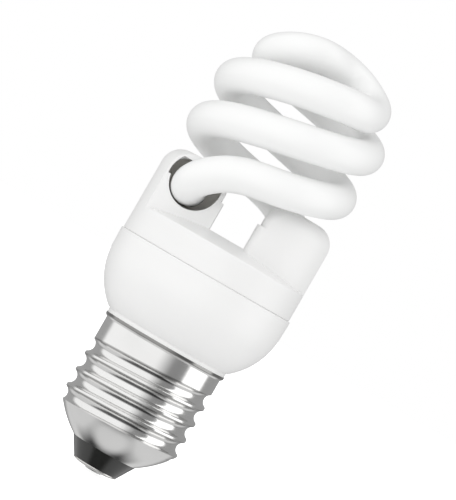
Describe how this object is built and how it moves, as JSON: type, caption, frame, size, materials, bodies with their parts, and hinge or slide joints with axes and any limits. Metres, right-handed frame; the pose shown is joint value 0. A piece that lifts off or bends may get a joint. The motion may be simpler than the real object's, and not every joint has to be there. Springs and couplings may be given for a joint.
{
  "type": "spiral compact fluorescent lamp",
  "caption": "Compact fluorescent lamp with a double glass spiral on a white ballast housing, for an Edison screw holder.",
  "frame": {"origin": "the tip of the centre contact, on the lamp's axis", "axes": "+Z along the lamp's axis from the cap to the glass; +Y away from the viewer of the picture, +X to the viewer's right"},
  "size_m": [0.0384, 0.0384, 0.0974],
  "materials": {
    "opal_glass": "clear glass over a white phosphor coat, opaque",
    "cover_plastic": "satin white moulded plastic",
    "housing_plastic": "satin white moulded plastic",
    "plated_cap": "nickel plated rolled sheet",
    "insulator_glass": "black fused glass, glossy",
    "plated_contact": "nickel plated pressed disc",
    "solder": "tin solder",
    "cement": "set white cement",
    "board": "paper laminate",
    "moulding": "black moulding compound",
    "resistor_paint": "beige lacquer",
    "diac_glass": "blue lacquered glass",
    "capacitor_sleeve": "shrunk dark sleeve",
    "film_dip": "dipped red brown resin",
    "ferrite": "sintered dark ferrite",
    "copper_wire": "enamelled copper wire",
    "tinned_wire": "tinned wire",
    "woven_sleeve": "woven glass fibre sleeve",
    "lead_cover": "white flexible cover"
  },
  "bodies": {
    "root": {"spiral_tube": "opal_glass", "upper_cover": "cover_plastic", "lower_housing": "housing_plastic", "screw_shell": "plated_cap", "cap_insulator": "insulator_glass", "centre_contact": "plated_contact", "contact_solder": "solder", "tube_cement_left": "cement", "tube_cement_right": "cement", "circuit_board": "board", "solder_joints": "solder", "rectifier_diode_1": "moulding", "rectifier_diode_2": "moulding", "rectifier_diode_3": "moulding", "rectifier_diode_4": "moulding", "resistor_1": "resistor_paint", "resistor_2": "resistor_paint", "resistor_3": "resistor_paint", "resistor_4": "resistor_paint", "diac": "diac_glass", "transistor_1": "moulding", "transistor_2": "moulding", "filter_capacitor": "capacitor_sleeve", "start_capacitor": "film_dip", "coupling_capacitor": "film_dip", "choke_core": "ferrite", "choke_bobbin": "moulding", "choke_winding": "copper_wire", "drive_ring": "ferrite", "drive_windings": "copper_wire", "wire_post_1": "tinned_wire", "wire_post_2": "tinned_wire", "wire_post_3": "tinned_wire", "wire_post_4": "tinned_wire", "filament_lead_1": "tinned_wire", "filament_lead_2": "tinned_wire", "filament_lead_3": "tinned_wire", "filament_lead_4": "tinned_wire", "fuse_resistor": "resistor_paint", "fuse_sleeve": "woven_sleeve", "live_lead": "lead_cover", "neutral_lead": "lead_cover"}
  },
  "joints": []
}
